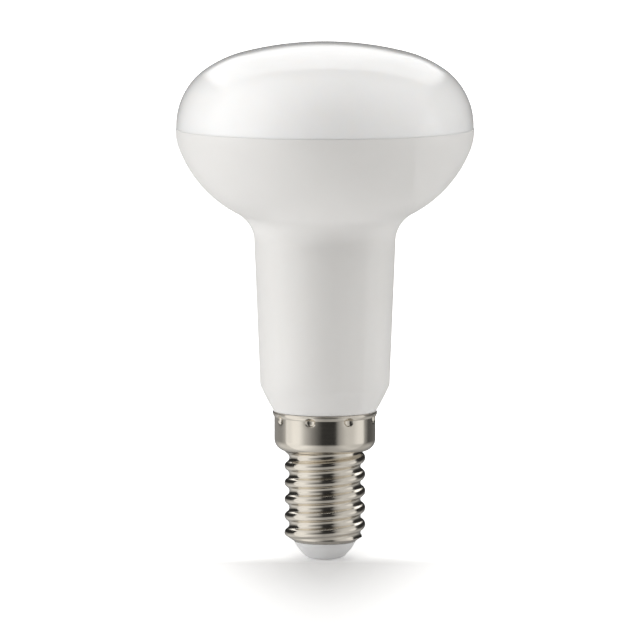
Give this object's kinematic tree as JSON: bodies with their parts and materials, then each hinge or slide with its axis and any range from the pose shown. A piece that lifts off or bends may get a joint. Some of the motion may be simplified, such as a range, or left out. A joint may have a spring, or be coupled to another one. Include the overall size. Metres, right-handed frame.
{
  "type": "reflector bulb",
  "caption": "Reflector lamp with an opal dome over a white funnel-shaped housing and a small nickel-plated screw cap; it screws into a lampholder and throws its light forwards.",
  "frame": {"origin": "middle of the centre contact's underside, the lowest point of the upright lamp", "axes": "+Z along the lamp's axis, from the screw cap to the dome; -Y faces the viewer"},
  "size_m": [0.05, 0.05, 0.087],
  "materials": {
    "opal_plastic": "smooth opal moulding",
    "white_plastic": "smooth satin white moulding",
    "nickel_plate": "bright warm nickel plate on drawn sheet",
    "insulator_plastic": "plain pale moulding",
    "contact_metal": "plated pressing"
  },
  "bodies": {
    "root": {"diffuser_dome": "opal_plastic", "housing": "white_plastic", "screw_shell": "nickel_plate", "cap_insulator": "insulator_plastic", "centre_contact": "contact_metal"}
  },
  "joints": []
}
